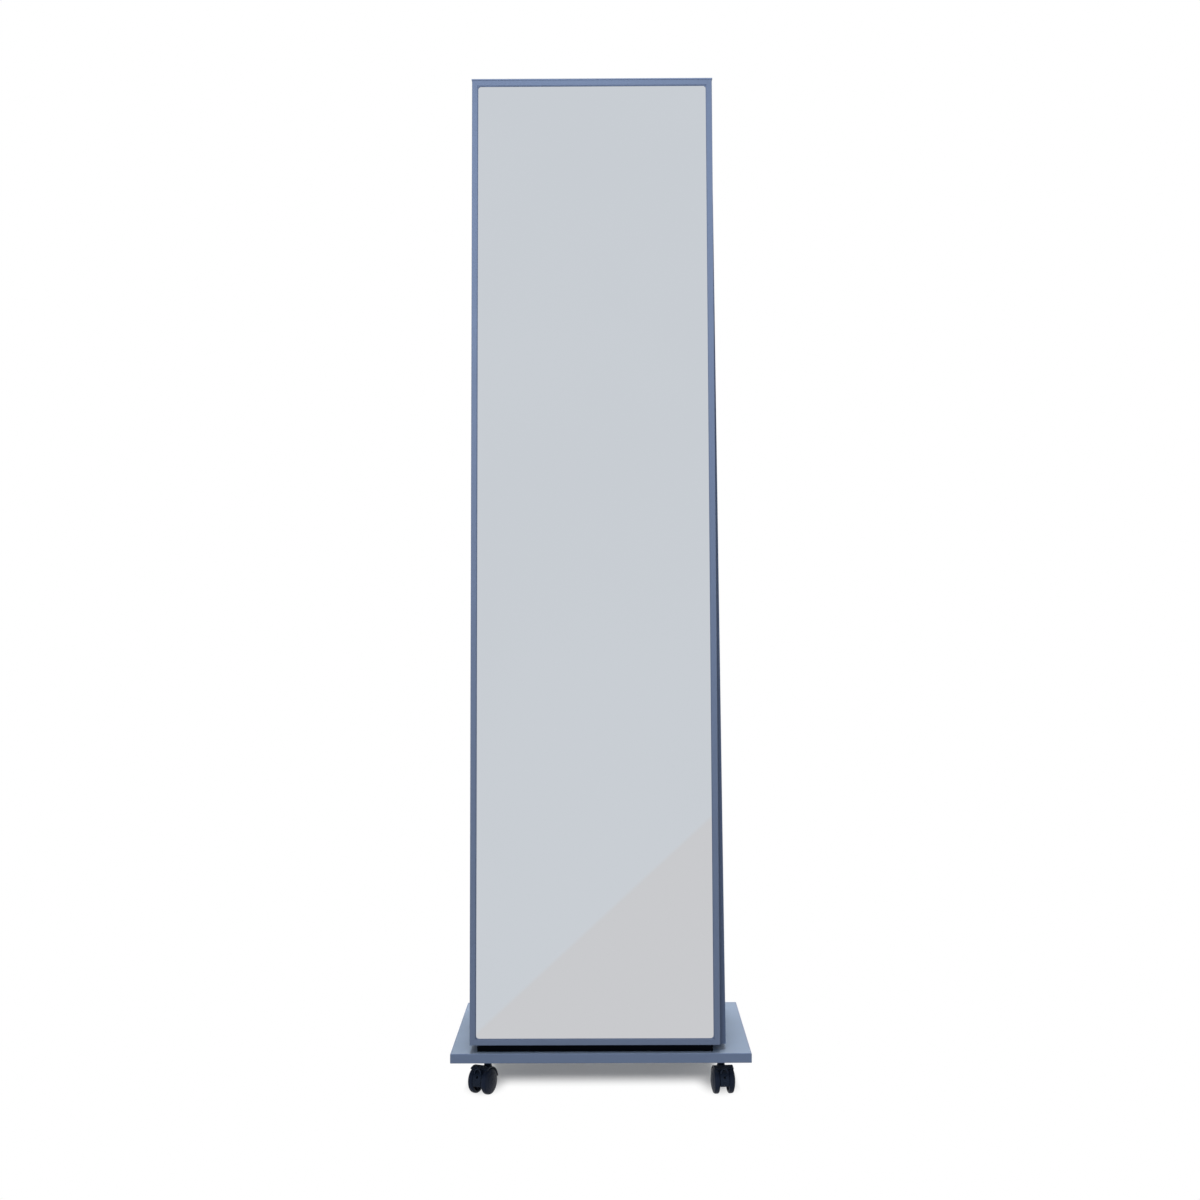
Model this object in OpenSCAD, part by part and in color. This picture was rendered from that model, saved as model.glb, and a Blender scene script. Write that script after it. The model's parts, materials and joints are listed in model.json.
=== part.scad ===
// Double-sided floor mirror: a wedge-shaped body with a framed mirror on its front
// and on its back, standing on a square-edged base board on four swivel casters.
// Origin on the floor under the middle of the base, +Z up, front towards -Y.

/* [Base] */
// Width of the base board over its edging
base_w = 500; // [440:1:700]
// Depth of the base board over its edging
base_d = 400; // [380:1:600]
// Thickness of the base board
base_t = 16; // [15:0.5:28]
// Thickness of the edging glued round the board
edging_t = 2; // [1:0.1:3]
// Radius of the edging's outer edges
edge_r = 1.2; // [0.4:0.1:3]
// Height of the dark plinth between base board and body
plinth_h = 10; // [4:0.5:30]
// How far the plinth stands back behind the frames, all round
plinth_inset = 12; // [2:0.5:20]

/* [Body] */
// Width over the mirror frames
body_w = 416; // [340:1:420]
// How far the frames' middle stands off the base's middle, to the right
body_x = -10; // [-12:0.5:12]
// Height of the body from the foot of the frames to the underside of the cap
body_h = 1641; // [1100:1:1900]
// Depth of the body at the foot of the frames
foot_d = 392; // [280:1:394]
// Depth of the body at the cap
top_d = 90; // [70:1:120]
// Gap between the plinth and the lowest corner of the leaning frames
foot_gap = 1; // [0.5:0.5:6]
// Thickness of the two side panels
side_t = 12; // [10:0.5:14]
// How far the right side panel stands proud of the frames at its foot
right_flare = 10.5; // [0:0.5:12]
// How far the left side panel stands proud of the frames at its foot
left_flare = 0; // [0:0.5:12]
// Thickness of the boards that tie the side panels together
board_t = 16; // [12:0.5:20]
// Height of the middle board above the foot of the frames, as a share of the body
middle_at = 0.5; // [0.3:0.05:0.7]
// Thickness of the top cap
cap_t = 2; // [1.5:0.5:4]
// How far the top cap stands over the frames
cap_over = 0.8; // [0:0.1:3]
// Diameter of the dowels that join boards and side panels
dowel_d = 8; // [6:1:8]
// Length of the dowels
dowel_l = 28; // [24:1:36]

/* [Mirror frame] */
// Width of the frame's face
face_w = 9.5; // [9:0.5:16]
// Depth of the frame, front to back
frame_d = 22; // [20:0.5:26]
// Wall of the frame's outer side
wall_t = 1.6; // [1.2:0.1:2]
// Thickness of the lip that holds the mirror
lip_t = 1.8; // [1.4:0.1:2.4]
// Thickness of the web behind the mirror
web_t = 1.4; // [1.2:0.1:2]
// Width of the web, from the outer side
web_w = 8.5; // [7.5:0.5:9]
// Radius of the frame's two front edges
frame_r = 0.8; // [0.4:0.1:1]
// Thickness of the mirror glass
glass_t = 4; // [3:0.5:5]
// Thickness of the backing board behind the glass
backing_t = 3; // [2:0.5:4]
// Thickness of the rubber gasket between lip and glass
gasket_t = 1.2; // [0.8:0.1:1.6]
// Width of gasket that shows inside the frame
gasket_show = 1.2; // [0.8:0.1:3]
// Radius of the gasket's inner corners
gasket_r = 5; // [3:0.5:10]
// Thickness of the corner keys
key_t = 2; // [1.5:0.1:2.4]
// Length of each leg of a corner key
key_leg = 34; // [24:1:45]

/* [Casters] */
// Height from the floor to the underside of the base board
caster_h = 60; // [56:0.5:80]
// Diameter of each wheel
wheel_d = 44; // [40:1:50]
// Width of one wheel at its hub
wheel_w = 12.3; // [11:0.1:14]
// Radius of the wheel's domed outer face
dome_r = 58; // [45:1:90]
// Distance from the swivel axis to the axle
trail = 18; // [16:0.5:20]
// Thickness of the housing between the two wheels
web_gap = 15; // [15:0.5:20]
// Width of the arched hood over the wheels
hood_w = 32.6; // [28:0.2:36]
// Diameter of the axle
axle_d = 6; // [5:0.5:8]
// Diameter of the stem
stem_d = 8; // [8:0.5:9]
// Gap between the base board and the housing, taken up by the stem's collar
collar_h = 3.5; // [2.5:0.5:6]
// Distance of the swivel axis from the side of the base
caster_in_x = 53.5; // [50:0.5:90]
// Distance of the swivel axis from the front or the back of the base
caster_in_y = 57; // [50:1:90]
// How far the four casters' middle stands off the base's middle, to the right
caster_off = 5.5; // [-8:0.5:8]
// Heading of the front left caster in degrees
turn_fl = -26; // [-180:1:180]
// Heading of the front right caster in degrees
turn_fr = 7; // [-180:1:180]
// Heading of the rear left caster in degrees
turn_rl = -18; // [-180:1:180]
// Heading of the rear right caster in degrees
turn_rr = 14; // [-180:1:180]

/* [Fits] */
// Radial clearance of every turning fit
run_clear = 0.06; // [0.03:0.01:0.1]
// Clearance between parts that are put together by hand
fit_clear = 0.2; // [0.1:0.05:0.4]

/* [Hidden] */
$fn = 64;
eps = 0.01;
far = 3000;

base_z = caster_h;
base_top = base_z + base_t;
side_z = base_top + plinth_h;
lean = atan((foot_d - top_d) / 2 / body_h);
panel_z = side_z + foot_gap + frame_d * sin(lean);
cap_z = panel_z + body_h;
panel_l = body_h / cos(lean);

glass_y = lip_t + gasket_t;
backing_y = glass_y + glass_t;
web_y = backing_y + backing_t;
key_y = web_y + web_t;
tongue_y = key_y + key_t + fit_clear;
sheet_gap = 0.9;

side_out = body_w / 2 - wall_t - fit_clear;
side_in = side_out - side_t;
dowel_wall = 3;
dowel_end = side_in + side_t - dowel_wall;
board_z = [side_z, panel_z + body_h * middle_at, cap_z - board_t];

screw_r = 2.5;
screw_head_r = 5;
screw_head_h = 2.8;
screw_l = base_t + plinth_h + board_t - 3;
screw_inset = 70;
screw_x = body_w / 2 - screw_inset;
screw_y = foot_d / 2 - screw_inset;

side_screw_r = 1.75;
side_screw_head_r = 3.2;
side_screw_head_h = 1.3;
side_screw_l = 11;
side_screw_y = (tongue_y + frame_d) / 2;
side_screw_in = 60;
side_screw_z = [side_screw_in, panel_l / 2, panel_l - side_screw_in];

caster_x = base_w / 2 - caster_in_x;
caster_y = base_d / 2 - caster_in_y;
wheel_r = wheel_d / 2;
axle_r = axle_d / 2;
stem_r = stem_d / 2;
neck_top = caster_h - collar_h;
neck_r = stem_r + 2.3;
web_half = web_gap / 2;
boss_r = web_half - 0.4;
boss_top = wheel_d - 0.5;
wheel_gap = 0.4;
wheel_x = web_half + wheel_gap;
wheel_out = wheel_x + wheel_w;
axle_half = wheel_out - 3.6;
groove_w = 1.6;
groove_deep = 0.5;
axle_groove = axle_half - 3.4;
stem_depth = 20;
stem_bottom = neck_top - stem_depth;
stem_groove = stem_bottom + 2.4;
stem_floor = stem_bottom - 0.5;
insert_l = base_t - 3;
insert_r = stem_r + 2.2;
insert_flange_r = insert_r + 3;
insert_flange_h = 1;
hood_in = wheel_r + 0.8;
hood_out = hood_in + 1.8;
web_r = wheel_r - 1;
web_low = 15.5;

frame_blue = "#66758f";
panel_blue = "#5a6a83";
dark = "#14181f";
caster_black = "#1c2230";
steel = "#b4b8bc";
silver = "#c8ccd3";
fibre = "#7a5c40";
timber = "#c8a878";

// ---- placing ----

module on_body() {
    translate([body_x, 0, 0])
        children();
}

// Front panel's own frame: x across, z up its slope, y into the body from its face
module on_front() {
    translate([0, -foot_d / 2, panel_z])
        rotate([-lean, 0, 0])
            children();
}

module on_rear() {
    rotate([0, 0, 180])
        on_front()
            children();
}

module at_corners(x, y) {
    for (sx = [-1, 1], sy = [-1, 1])
        translate([sx * x, sy * y, 0])
            children();
}

module at_caster(sx, sy, turn) {
    translate([caster_off + sx * caster_x, sy * caster_y, 0])
        rotate([0, 0, turn])
            children();
}

// ---- base ----

module centred_box(w, d, h) {
    translate([-w / 2, -d / 2, 0])
        cube([w, d, h]);
}

module base_board() {
    color(panel_blue)
        difference() {
            translate([0, 0, base_z])
                centred_box(base_w - 2 * edging_t, base_d - 2 * edging_t, base_t);
            at_inserts()
                translate([0, 0, -eps]) {
                    cylinder(r = insert_r, h = insert_l + eps);
                    cylinder(r = insert_flange_r, h = insert_flange_h + eps);
                }
            on_body() {
                body_screw_holes(screw_r + fit_clear);
                at_corners(screw_x, screw_y)
                    screw_head_space(fit_clear);
            }
        }
}

// A slab with the four edges that run front to back rounded
module rounded_slab(w, d, h, r) {
    rotate([90, 0, 0])
        translate([-w / 2, 0, -d / 2])
            linear_extrude(d) {
                translate([r, 0])
                    square([w - 2 * r, h]);
                translate([0, r])
                    square([w, h - 2 * r]);
                for (x = [r, w - r], y = [r, h - r])
                    translate([x, y])
                        circle(r = r);
            }
}

module base_edging() {
    color(frame_blue)
        translate([0, 0, base_z])
            difference() {
                intersection() {
                    rounded_slab(base_w, base_d, base_t, edge_r);
                    rotate([0, 0, 90])
                        rounded_slab(base_d, base_w, base_t, edge_r);
                }
                translate([0, 0, -eps])
                    centred_box(base_w - 2 * edging_t, base_d - 2 * edging_t, base_t + 2 * eps);
            }
}

module plinth() {
    color(dark)
        difference() {
            translate([0, 0, base_top])
                centred_box(body_w - 2 * plinth_inset, foot_d - 2 * plinth_inset, plinth_h);
            body_screw_holes(screw_r + fit_clear);
        }
}

module body_screw_holes(r) {
    at_corners(screw_x, screw_y)
        translate([0, 0, base_z - eps])
            cylinder(r = r, h = base_t + plinth_h + board_t - 2);
}

module screw_head_space(gap) {
    translate([0, 0, base_z - eps])
        cylinder(r1 = screw_head_r + gap, r2 = screw_r + gap, h = screw_head_h + gap);
}

module body_screws() {
    color(steel)
        at_corners(screw_x, screw_y)
            translate([0, 0, base_z]) {
                cylinder(r1 = screw_head_r, r2 = screw_r, h = screw_head_h);
                cylinder(r = screw_r, h = screw_l);
            }
}

module at_inserts() {
    translate([caster_off, 0, base_z])
        at_corners(caster_x, caster_y)
            children();
}

module insert_nuts() {
    color(steel)
        at_inserts()
            difference() {
                union() {
                    cylinder(r = insert_r, h = insert_l);
                    cylinder(r = insert_flange_r, h = insert_flange_h);
                }
                translate([0, 0, -eps])
                    cylinder(r = stem_r, h = insert_l + 2 * eps);
            }
}

// ---- carcass ----

// Depth of the free space behind the frames at height z
function inner_half(z) =
    foot_d / 2 - (z - panel_z) * tan(lean) - (frame_d + fit_clear) / cos(lean);

module carcass_board(z, depth_half) {
    difference() {
        translate([0, 0, z])
            centred_box(2 * side_in, 2 * depth_half, board_t);
        dowel_holes(z, depth_half);
    }
}

module dowel_row(z, depth_half) {
    for (sx = [-1, 1], sy = [-1, 1])
        translate([sx * dowel_end, sy * depth_half * 0.6, z + board_t / 2])
            rotate([0, -sx * 90, 0])
                children();
}

module dowel_holes(z, depth_half) {
    dowel_row(z, depth_half)
        cylinder(d = dowel_d, h = dowel_l);
}

function board_half(i) = inner_half(board_z[i] + board_t) - 1;

module bottom_board() {
    color(timber)
        difference() {
            carcass_board(board_z[0], board_half(0));
            body_screw_holes(screw_r);
        }
}

module middle_board() {
    color(timber)
        carcass_board(board_z[1], board_half(1));
}

module top_board() {
    color(timber)
        carcass_board(board_z[2], board_half(2));
}

module dowels() {
    color(timber)
        for (i = [0:2])
            dowel_holes(board_z[i], board_half(i));
}

// Right side panel: a tapering board whose outer face leans out to the flare at its foot
module side_panel(flare) {
    color(panel_blue)
        difference() {
            rotate([90, 0, 0])
                translate([0, 0, -foot_d / 2])
                    linear_extrude(foot_d)
                        polygon([[side_in, side_z], [body_w / 2 + flare, side_z],
                                 [body_w / 2, cap_z], [side_in, cap_z]]);
            both_panels()
                translate([0, tongue_y - far, -far / 2])
                    cube([far, far, 2 * far]);
            both_panels()
                translate([side_out, frame_d + fit_clear - far, -far / 2])
                    cube([far, far, 2 * far]);
            both_panels()
                rail_space();
            for (i = [0:2])
                dowel_holes(board_z[i], board_half(i));
            both_panels()
                side_screw_row()
                    cylinder(r = side_screw_r, h = side_screw_l);
        }
}

// Room for the outer walls of a bottom rail and a top rail
module rail_space() {
    for (z = [-far, panel_l - wall_t - fit_clear])
        translate([0, frame_d + fit_clear - far, z])
            cube([far, far, far + wall_t + fit_clear]);
}

// The front panel and the rear one, each seen from the right side panel
module both_panels() {
    on_front()
        children();
    mirror([0, 1, 0])
        on_front()
            children();
}

module right_side_panel() {
    side_panel(right_flare);
}

module left_side_panel() {
    mirror([1, 0, 0])
        side_panel(left_flare);
}

module top_cap() {
    color(frame_blue)
        translate([0, 0, cap_z])
            centred_box(body_w + 2 * cap_over, top_d + 2 * cap_over, cap_t);
}

module side_screw_row() {
    for (z = side_screw_z)
        translate([body_w / 2, side_screw_y, z])
            rotate([0, -90, 0])
                children();
}

module side_screw() {
    cylinder(r1 = side_screw_head_r, r2 = side_screw_r, h = side_screw_head_h);
    cylinder(r = side_screw_r, h = side_screw_l);
}

module side_screws() {
    color(steel)
        for (sx = [0, 1])
            mirror([sx, 0, 0])
                both_panels()
                    side_screw_row()
                        side_screw();
}

// ---- mirror frames ----

// Section of the frame bar: x inwards from its outer side, y back from its face
module bar_section() {
    difference() {
        polygon([[0, 0], [face_w, 0], [face_w, lip_t], [wall_t, lip_t],
                 [wall_t, web_y], [web_w, web_y], [web_w, key_y], [wall_t, key_y],
                 [wall_t, frame_d], [0, frame_d]]);
        round_corner();
        translate([face_w, 0])
            mirror([1, 0])
                round_corner();
    }
}

module round_corner() {
    difference() {
        translate([-eps, -eps])
            square(frame_r + eps);
        translate([frame_r, frame_r])
            circle(r = frame_r);
    }
}

// A bar of the given length along z, mitred at both ends
module frame_bar(length) {
    intersection() {
        linear_extrude(length)
            bar_section();
        rotate([90, 0, 0])
            translate([0, 0, -frame_d - 1])
                linear_extrude(frame_d + 2)
                    polygon([[0, 0], [face_w + 1, face_w + 1],
                             [face_w + 1, length - face_w - 1], [0, length]]);
    }
}

module stile() {
    color(frame_blue)
        difference() {
            translate([-body_w / 2, 0, 0])
                frame_bar(panel_l);
            mirror([1, 0, 0])
                side_screw_row() {
                    cylinder(r = side_screw_r, h = side_screw_l);
                    cylinder(r1 = side_screw_head_r, r2 = side_screw_r, h = side_screw_head_h);
                }
        }
}

module right_stile() {
    mirror([1, 0, 0])
        stile();
}

module bottom_rail() {
    color(frame_blue)
        translate([body_w / 2, 0, 0])
            rotate([0, -90, 0])
                frame_bar(body_w);
}

module top_rail() {
    translate([0, 0, panel_l])
        mirror([0, 0, 1])
            bottom_rail();
}

module sheet(inset, y, thick) {
    translate([-body_w / 2 + inset, y, inset])
        cube([body_w - 2 * inset, thick, panel_l - 2 * inset]);
}

module rounded_window(inset, r) {
    w = body_w - 2 * inset;
    h = panel_l - 2 * inset;
    translate([-w / 2, inset]) {
        translate([r, 0])
            square([w - 2 * r, h]);
        translate([0, r])
            square([w, h - 2 * r]);
        for (x = [r, w - r], z = [r, h - r])
            translate([x, z])
                circle(r = r);
    }
}

module gasket() {
    color(dark)
        translate([0, glass_y, 0])
            rotate([90, 0, 0])
                linear_extrude(gasket_t)
                    difference() {
                        translate([-body_w / 2 + wall_t + fit_clear, wall_t + fit_clear])
                            square([body_w - 2 * (wall_t + fit_clear),
                                    panel_l - 2 * (wall_t + fit_clear)]);
                        rounded_window(face_w + gasket_show, gasket_r);
                    }
}

module mirror_glass() {
    color(silver)
        sheet(wall_t + sheet_gap, glass_y, glass_t);
}

module backing() {
    color(fibre)
        sheet(wall_t + sheet_gap, backing_y, backing_t);
}

// One flat L-shaped key in the corner at the origin
module corner_key() {
    leg_w = web_w - wall_t - 2 * fit_clear;
    key_hole_d = 3.2;
    translate([0, key_y + key_t, 0])
        rotate([90, 0, 0])
            linear_extrude(key_t)
                difference() {
                    translate([wall_t + fit_clear, wall_t + fit_clear]) {
                        square([leg_w, key_leg]);
                        square([key_leg, leg_w]);
                    }
                    for (at = [0.55, 0.85]) {
                        translate([(wall_t + web_w) / 2, key_leg * at])
                            circle(d = key_hole_d);
                        translate([key_leg * at, (wall_t + web_w) / 2])
                            circle(d = key_hole_d);
                    }
                }
}

module corner_keys() {
    color(steel)
        for (sx = [0, 1], sz = [0, 1])
            translate([0, 0, sz * panel_l])
                mirror([0, 0, sz])
                    mirror([sx, 0, 0])
                        translate([-body_w / 2, 0, 0])
                            corner_key();
}

// ---- casters ----

module stem() {
    color(steel)
        difference() {
            union() {
                translate([0, 0, stem_bottom])
                    cylinder(r = stem_r, h = base_z + insert_l - stem_bottom);
                translate([0, 0, neck_top])
                    cylinder(r = insert_r, h = collar_h);
            }
            translate([0, 0, stem_groove])
                ring(stem_r - groove_deep, stem_r + 1, groove_w);
        }
}

module ring(r_in, r_out, h) {
    difference() {
        cylinder(r = r_out, h = h);
        translate([0, 0, -eps])
            cylinder(r = r_in, h = h + 2 * eps);
    }
}

// Bore for a grooved pin, with the snap ridge that keeps the pin in
module snap_bore(r, depth, groove_at) {
    difference() {
        cylinder(r = r + run_clear, h = depth);
        translate([0, 0, groove_at + run_clear * 2])
            ring(r - groove_deep + run_clear, r + 1, groove_w - run_clear * 4);
    }
}

// Turns z into the axle's direction, at the axle
module on_axle() {
    translate([0, -trail, wheel_r])
        rotate([0, 90, 0])
            children();
}

// Draws a side profile (x towards the stem, y up) as a wall of the given width
module side_wall(w) {
    translate([-w / 2, 0, 0])
        rotate([90, 0, 90])
            linear_extrude(w)
                children();
}

module housing() {
    hole_d = 4.4;
    hole_deep = 9;
    hole_z = wheel_r + 8.7;
    color(caster_black)
        difference() {
            union() {
                side_wall(web_gap)
                    web_profile();
                side_wall(hood_w)
                    hood_profile();
                cylinder_between(boss_r, stem_bottom, boss_top);
                cylinder_between(neck_r, stem_bottom, neck_top);
                visor();
                grip_ridges();
            }
            translate([0, 0, stem_floor])
                snap_bore(stem_r, neck_top - stem_floor + 1, stem_groove - stem_floor);
            on_axle()
                translate([0, 0, -web_gap])
                    cylinder(r = axle_r, h = 2 * web_gap);
            translate([0, -trail - wheel_r, hole_z])
                rotate([-90, 0, 0])
                    cylinder(d = hole_d, h = hole_deep);
        }
}

module cylinder_between(r, z0, z1) {
    translate([0, 0, z0])
        cylinder(r = r, h = z1 - z0);
}

// The wall between the wheels: a disc at the axle, cut off above the floor, that
// reaches forward to carry the stem
module web_profile() {
    nose_low = stem_bottom - 6;
    nose_top = boss_top - 4;
    intersection() {
        union() {
            translate([-trail, wheel_r])
                circle(r = web_r);
            polygon([[-trail, web_low], [-3, web_low], [web_half - 3, nose_low],
                     [web_half, nose_low + 3], [web_half, nose_top], [-trail, nose_top]]);
        }
        translate([-far / 2, web_low])
            square(far);
    }
}

// The arched hood over both wheels, from low at the stem to high on the trailing side
module hood_profile() {
    stem_slope = 0.2;
    trail_slope = 0.58;
    translate([-trail, wheel_r])
        intersection() {
            difference() {
                circle(r = hood_out);
                circle(r = hood_in);
            }
            polygon([[0, 0], [far, stem_slope * far], [far, far], [-trail_slope * far, far]]);
        }
}

// Half-round visor moulded on the trailing side, under the hood
module visor() {
    visor_r = 6.8;
    visor_wall = 2;
    visor_z = wheel_r + 16.2;
    reach = 17.5;
    translate([0, -trail, visor_z])
        rotate([90, 0, 0])
            linear_extrude(reach)
                intersection() {
                    difference() {
                        circle(r = visor_r);
                        circle(r = visor_r - visor_wall);
                    }
                    translate([-visor_r, -2])
                        square(2 * visor_r);
                }
}

// Three low ridges across the trailing face of the wall between the wheels
module grip_ridges() {
    ridge_w = 11;
    ridge_h = 1.2;
    proud = 0.6;
    for (z = [-3.8, -0.6, 2.6])
        translate([-ridge_w / 2, -trail - web_r - proud, wheel_r + z])
            cube([ridge_w, 4, ridge_h]);
}

module axle() {
    color(steel)
        on_axle()
            difference() {
                translate([0, 0, -axle_half])
                    cylinder(r = axle_r, h = 2 * axle_half);
                for (end = [0, 1])
                    mirror([0, 0, end])
                        translate([0, 0, axle_groove])
                            ring(axle_r - groove_deep, axle_r + 1, groove_w);
            }
}

// The wheel on the +x side: a hollow disc with a domed outer face
module wheel() {
    color(caster_black)
        on_axle()
            difference() {
                rotate_extrude()
                    wheel_section();
                translate([0, 0, wheel_x - eps])
                    snap_bore(axle_r, axle_half - wheel_x + 0.4, axle_groove - wheel_x + eps);
            }
}

// How far the domed outer face stands out at radius r
function dome_at(r) = wheel_out - dome_r + sqrt(dome_r * dome_r - r * r);

// Half section of the wheel: x is the radius, y runs outwards along the axle
module wheel_section() {
    inner_round = 2.5;
    outer_round = 5;
    tread_w = 5.1;
    hub_r = axle_r + 3;
    rim_wall = 4;
    outer_wall = 5.5;
    ring_r = wheel_r - 8;
    difference() {
        intersection() {
            translate([0, wheel_out - dome_r])
                circle(r = dome_r, $fn = 360);
            union() {
                translate([0, wheel_x]) {
                    square([wheel_r - outer_round, wheel_w]);
                    square([wheel_r - inner_round, tread_w]);
                }
                translate([0, wheel_x + inner_round])
                    square([wheel_r, tread_w - inner_round]);
                translate([wheel_r - inner_round, wheel_x + inner_round])
                    circle(r = inner_round);
                translate([wheel_r - outer_round, wheel_x + tread_w])
                    circle(r = outer_round);
            }
        }
        translate([hub_r, wheel_x - eps])
            square([wheel_r - rim_wall - hub_r, wheel_w - outer_wall]);
        // shallow ring pressed into the outer face
        translate([ring_r, dome_at(ring_r)])
            circle(d = 1.2);
    }
}

module left_wheel() {
    mirror([1, 0, 0])
        wheel();
}

base_board();
base_edging();
on_body() plinth();
on_body() bottom_board();
on_body() middle_board();
on_body() top_board();
on_body() left_side_panel();
on_body() right_side_panel();
on_body() top_cap();
on_body() dowels();
on_body() body_screws();
on_body() side_screws();
insert_nuts();
on_body() on_front() stile();  // front_left_stile
on_body() on_front() right_stile();  // front_right_stile
on_body() on_front() top_rail();  // front_top_rail
on_body() on_front() bottom_rail();  // front_bottom_rail
on_body() on_front() corner_keys();  // front_corner_keys
on_body() on_front() gasket();  // front_gasket
on_body() on_front() mirror_glass();  // front_mirror
on_body() on_front() backing();  // front_backing
on_body() on_rear() stile();  // rear_left_stile
on_body() on_rear() right_stile();  // rear_right_stile
on_body() on_rear() top_rail();  // rear_top_rail
on_body() on_rear() bottom_rail();  // rear_bottom_rail
on_body() on_rear() corner_keys();  // rear_corner_keys
on_body() on_rear() gasket();  // rear_gasket
on_body() on_rear() mirror_glass();  // rear_mirror
on_body() on_rear() backing();  // rear_backing
at_caster(-1, -1, turn_fl) stem();  // fl_stem
at_caster(-1, -1, turn_fl) housing();  // fl_housing
at_caster(-1, -1, turn_fl) axle();  // fl_axle
at_caster(-1, -1, turn_fl) left_wheel();  // fl_left_wheel
at_caster(-1, -1, turn_fl) wheel();  // fl_right_wheel
at_caster(1, -1, turn_fr) stem();  // fr_stem
at_caster(1, -1, turn_fr) housing();  // fr_housing
at_caster(1, -1, turn_fr) axle();  // fr_axle
at_caster(1, -1, turn_fr) left_wheel();  // fr_left_wheel
at_caster(1, -1, turn_fr) wheel();  // fr_right_wheel
at_caster(-1, 1, turn_rl) stem();  // rl_stem
at_caster(-1, 1, turn_rl) housing();  // rl_housing
at_caster(-1, 1, turn_rl) axle();  // rl_axle
at_caster(-1, 1, turn_rl) left_wheel();  // rl_left_wheel
at_caster(-1, 1, turn_rl) wheel();  // rl_right_wheel
at_caster(1, 1, turn_rr) stem();  // rr_stem
at_caster(1, 1, turn_rr) housing();  // rr_housing
at_caster(1, 1, turn_rr) axle();  // rr_axle
at_caster(1, 1, turn_rr) left_wheel();  // rr_left_wheel
at_caster(1, 1, turn_rr) wheel();  // rr_right_wheel
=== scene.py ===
import json
import math

import bmesh
import bpy
from mathutils import Matrix, Vector


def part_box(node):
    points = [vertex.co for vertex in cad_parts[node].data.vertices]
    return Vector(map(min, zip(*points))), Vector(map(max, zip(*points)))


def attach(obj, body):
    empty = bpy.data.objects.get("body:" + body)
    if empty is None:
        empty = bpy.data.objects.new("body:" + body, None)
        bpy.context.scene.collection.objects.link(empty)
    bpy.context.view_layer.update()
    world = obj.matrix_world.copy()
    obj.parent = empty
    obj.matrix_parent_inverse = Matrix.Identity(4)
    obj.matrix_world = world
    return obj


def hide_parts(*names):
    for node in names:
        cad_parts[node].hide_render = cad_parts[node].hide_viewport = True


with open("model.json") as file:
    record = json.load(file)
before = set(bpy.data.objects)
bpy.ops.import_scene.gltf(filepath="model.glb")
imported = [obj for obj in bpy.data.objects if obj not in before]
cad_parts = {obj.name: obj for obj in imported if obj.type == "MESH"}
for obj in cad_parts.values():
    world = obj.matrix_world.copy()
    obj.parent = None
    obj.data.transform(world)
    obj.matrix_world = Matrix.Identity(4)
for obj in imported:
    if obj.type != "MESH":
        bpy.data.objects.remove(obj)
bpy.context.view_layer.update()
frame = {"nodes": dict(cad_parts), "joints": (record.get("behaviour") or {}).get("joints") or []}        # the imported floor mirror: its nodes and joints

nodes = frame["nodes"]
joints = {joint["name"]: joint for joint in frame["joints"]}
mm = 0.001


# camera, as the photograph was taken

photo = {
    "side": 1200,                      # the picture's width and height in pixels
    "focal": 1915.6,                   # focal length in those pixels
    "eye": (0.0193, -3.3715, 0.8375),   # where the lens was, in metres
    "pitch": -0.177,                   # degrees, looking slightly down
    "yaw": 0.322,                      # degrees, turned slightly left
    "roll": -0.221,                    # degrees
    "sensor": 36.0,                    # mm
    "near": 0.05, "far": 200,          # metres; nothing nearer or further is drawn
}


def cameraTurn(look):
    upright = Matrix.Rotation(math.radians(90 + look["pitch"]), 3, "X")
    turned = Matrix.Rotation(math.radians(look["yaw"]), 3, "Z")
    rolled = Matrix.Rotation(math.radians(look["roll"]), 3, "Z")
    return turned @ upright @ rolled


def makeCamera(look):
    data = bpy.data.cameras.new("photoCamera")
    data.sensor_width = look["sensor"]
    data.lens = look["sensor"] * look["focal"] / look["side"]
    data.clip_start = look["near"]
    data.clip_end = look["far"]
    camera = bpy.data.objects.new("photoCamera", data)
    bpy.context.scene.collection.objects.link(camera)
    camera.location = look["eye"]
    camera.rotation_euler = cameraTurn(look).to_euler()
    bpy.context.scene.camera = camera


makeCamera(photo)
print("camera set")


# shader helpers

nodeSpacing = (210, 190)      # between columns and rows in the node editor
shaderPlace = (1500, 0)
white = (1.0, 1.0, 1.0, 1.0)


def srgb(code):
    # linear colour from a hex code such as "7f8ead"
    parts = [int(code[i:i + 2], 16) / 255 for i in (0, 2, 4)]
    return tuple(p / 12.92 if p <= 0.04045 else ((p + 0.055) / 1.055) ** 2.4 for p in parts) + (1.0,)


def addNode(tree, kind, column, row, **settings):
    node = tree.nodes.new(kind)
    node.location = (column * nodeSpacing[0], -row * nodeSpacing[1])
    for name, value in settings.items():
        setattr(node, name, value)
    return node


def setInputs(node, **values):
    for name, value in values.items():
        node.inputs[name.replace("_", " ")].default_value = value
    return node


def newGroup(name, inputs, outputs):
    # inputs: name -> (socket type, default); outputs: name -> socket type
    tree = bpy.data.node_groups.new(name, "ShaderNodeTree")
    for label, (kind, value) in inputs.items():
        socket = tree.interface.new_socket(name=label, in_out="INPUT", socket_type=kind)
        socket.default_value = value
    for label, kind in outputs.items():
        tree.interface.new_socket(name=label, in_out="OUTPUT", socket_type=kind)
    entry = addNode(tree, "NodeGroupInput", 0, 0)
    leave = addNode(tree, "NodeGroupOutput", 6, 0)
    return tree, entry, leave


def ramp(tree, column, row, low, high, toLow=0.0, toHigh=1.0):
    node = addNode(tree, "ShaderNodeMapRange", column, row, interpolation_type="SMOOTHSTEP")
    return setInputs(node, From_Min=low, From_Max=high, To_Min=toLow, To_Max=toHigh)


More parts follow.
